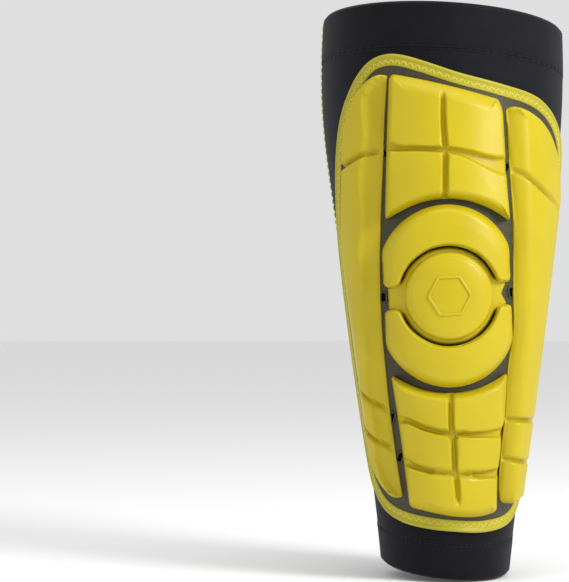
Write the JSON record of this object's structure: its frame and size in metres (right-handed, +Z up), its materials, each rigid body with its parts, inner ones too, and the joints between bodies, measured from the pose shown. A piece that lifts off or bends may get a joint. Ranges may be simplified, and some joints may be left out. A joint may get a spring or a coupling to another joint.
{
  "type": "shin guard sleeve",
  "caption": "Compression leg sleeve with a segmented padded shin shield sewn to its front, for ball sports.",
  "frame": {"origin": "centre of the ankle opening, level with the sleeve's lowest point, on the leg axis at the ankle", "axes": "+Z up the leg towards the knee, -Y out of the shin through the middle of the pad, +X towards the wing that wraps further round the leg (the outer side)"},
  "size_m": [0.1145, 0.162, 0.2632],
  "materials": {
    "knit": "smooth stretch knit with a soft sheen",
    "pad_film": "satin moulded film",
    "border_film": "satin film with a rolled edge",
    "pad_foam": "matt foam",
    "pad_base": "dense woven backing",
    "bright_thread": "twisted thread",
    "dark_thread": "twisted thread"
  },
  "bodies": {
    "front": {"sleeve_front_panel": "knit", "lateral_seam_stitching": "bright_thread", "medial_seam_stitching": "bright_thread", "top_hem_stitching_front": "dark_thread", "bottom_hem_stitching_front": "dark_thread", "pad_base_sheet": "pad_base", "border_flange": "border_film", "border_zigzag_stitching": "bright_thread", "upper_block_skin": "pad_film", "lower_block_skin": "pad_film", "medial_wing_skin": "pad_film", "lateral_wing_skin": "pad_film", "ring_skin": "pad_film", "upper_block_foam_medial_top": "pad_foam", "upper_block_foam_lateral_top": "pad_foam", "upper_block_foam_medial_low": "pad_foam", "upper_block_foam_lateral_low": "pad_foam", "lower_block_foam_medial_top": "pad_foam", "lower_block_foam_lateral_top": "pad_foam", "lower_block_foam_medial_mid": "pad_foam", "lower_block_foam_lateral_mid": "pad_foam", "lower_block_foam_medial_low": "pad_foam", "lower_block_foam_lateral_low": "pad_foam", "medial_wing_foam_top": "pad_foam", "medial_wing_foam_long": "pad_foam", "medial_wing_foam_mid": "pad_foam", "medial_wing_foam_low": "pad_foam", "lateral_wing_foam_top": "pad_foam", "lateral_wing_foam_long": "pad_foam", "lateral_wing_foam_mid": "pad_foam", "lateral_wing_foam_low": "pad_foam", "ring_foam_crescent_upper": "pad_foam", "ring_foam_crescent_lower": "pad_foam", "ring_foam_disc": "pad_foam"},
    "back": {"sleeve_back_panel": "knit", "top_hem_stitching_back": "dark_thread", "bottom_hem_stitching_back": "dark_thread"}
  },
  "joints": [
    {"name": "back_panel_collapse", "type": "slide", "parent": "front", "child": "back", "axis": [0, -1, 0], "range_m": [0, 0.045], "stiffness_N_per_m": 60, "deforming": ["sleeve_back_panel", "top_hem_stitching_back", "bottom_hem_stitching_back"]}
  ]
}
